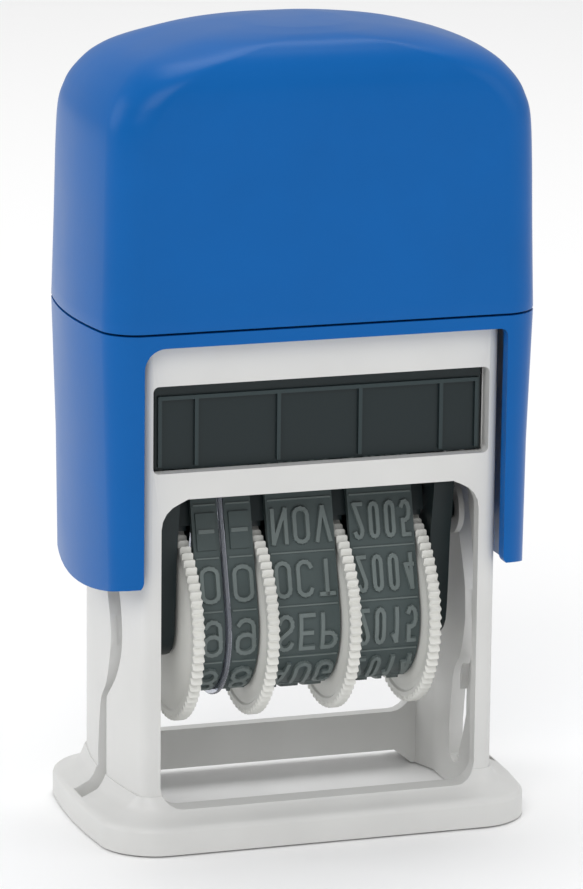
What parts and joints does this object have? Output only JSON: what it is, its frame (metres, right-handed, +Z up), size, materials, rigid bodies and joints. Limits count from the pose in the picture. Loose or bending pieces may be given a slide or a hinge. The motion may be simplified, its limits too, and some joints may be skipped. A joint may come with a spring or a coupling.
{
  "type": "self-inking date stamp",
  "caption": "Self-inking date stamp: press cap over a grey frame, ink cartridge, and a turning type carriage with date bands and thumb wheels.",
  "frame": {"origin": "centre of the base underside, on the paper", "axes": "+Z up along the press travel, -Y to the front, where the ink cartridge comes out, +X to the right seen from the front"},
  "size_m": [0.0478, 0.0286, 0.083],
  "materials": {
    "grey_plastic": "satin",
    "blue_plastic": "gloss",
    "dark_plastic": "satin",
    "clear_plastic": "gloss",
    "wheel_plastic": "satin",
    "band_rubber": "matte",
    "ink_felt": "matte",
    "steel": "satin",
    "spring_steel": "satin"
  },
  "bodies": {
    "frame": {"base_frame": "grey_plastic", "return_spring": "spring_steel"},
    "cap": {"cap_top": "blue_plastic", "cap_skirt": "blue_plastic", "yoke_strap": "grey_plastic", "pivot_pin_left": "dark_plastic", "pivot_pin_right": "dark_plastic"},
    "carriage": {"anvil_bridge": "dark_plastic", "day_divider": "clear_plastic", "wheel_axle": "steel", "arm_left": "dark_plastic", "arm_right": "dark_plastic", "cam_pin_left": "dark_plastic", "cam_pin_right": "dark_plastic", "axle_clip_left": "steel", "axle_clip_right": "steel", "day_tens_band": "band_rubber", "day_ones_band": "band_rubber", "month_band": "band_rubber", "year_band": "band_rubber"},
    "cartridge": {"pad_tray": "dark_plastic", "ink_pad": "ink_felt"},
    "day_tens_roller": {"day_tens_wheel": "wheel_plastic"},
    "day_ones_roller": {"day_ones_wheel": "wheel_plastic"},
    "month_roller": {"month_wheel": "wheel_plastic"},
    "year_roller": {"year_wheel": "wheel_plastic"}
  },
  "joints": [
    {"name": "cap_press", "type": "slide", "parent": "frame", "child": "cap", "axis": [0, 0, -1], "range_m": [0, 0.0225], "stiffness_N_per_m": 150, "springref_m": -0.02, "deforming": ["return_spring"]},
    {"name": "carriage_flip", "type": "hinge", "parent": "cap", "child": "carriage", "pos_m": [0, 0, 0.03075], "axis": [1, 0, 0], "range_deg": [0, 180.5]},
    {"name": "cartridge_slide", "type": "slide", "parent": "frame", "child": "cartridge", "axis": [0, 1, 0], "range_m": [-0.02, 0]},
    {"name": "day_tens_spin", "type": "hinge", "parent": "carriage", "child": "day_tens_roller", "pos_m": [0, 0, 0.0208], "axis": [1, 0, 0], "continuous": true},
    {"name": "day_ones_spin", "type": "hinge", "parent": "carriage", "child": "day_ones_roller", "pos_m": [0, 0, 0.0208], "axis": [1, 0, 0], "continuous": true},
    {"name": "month_spin", "type": "hinge", "parent": "carriage", "child": "month_roller", "pos_m": [0, 0, 0.0208], "axis": [1, 0, 0], "continuous": true},
    {"name": "year_spin", "type": "hinge", "parent": "carriage", "child": "year_roller", "pos_m": [0, 0, 0.0208], "axis": [1, 0, 0], "continuous": true}
  ],
  "couplings": [
    {"joint": "carriage_flip", "follows": "cap_press", "rad_per_m": 139.63}
  ]
}
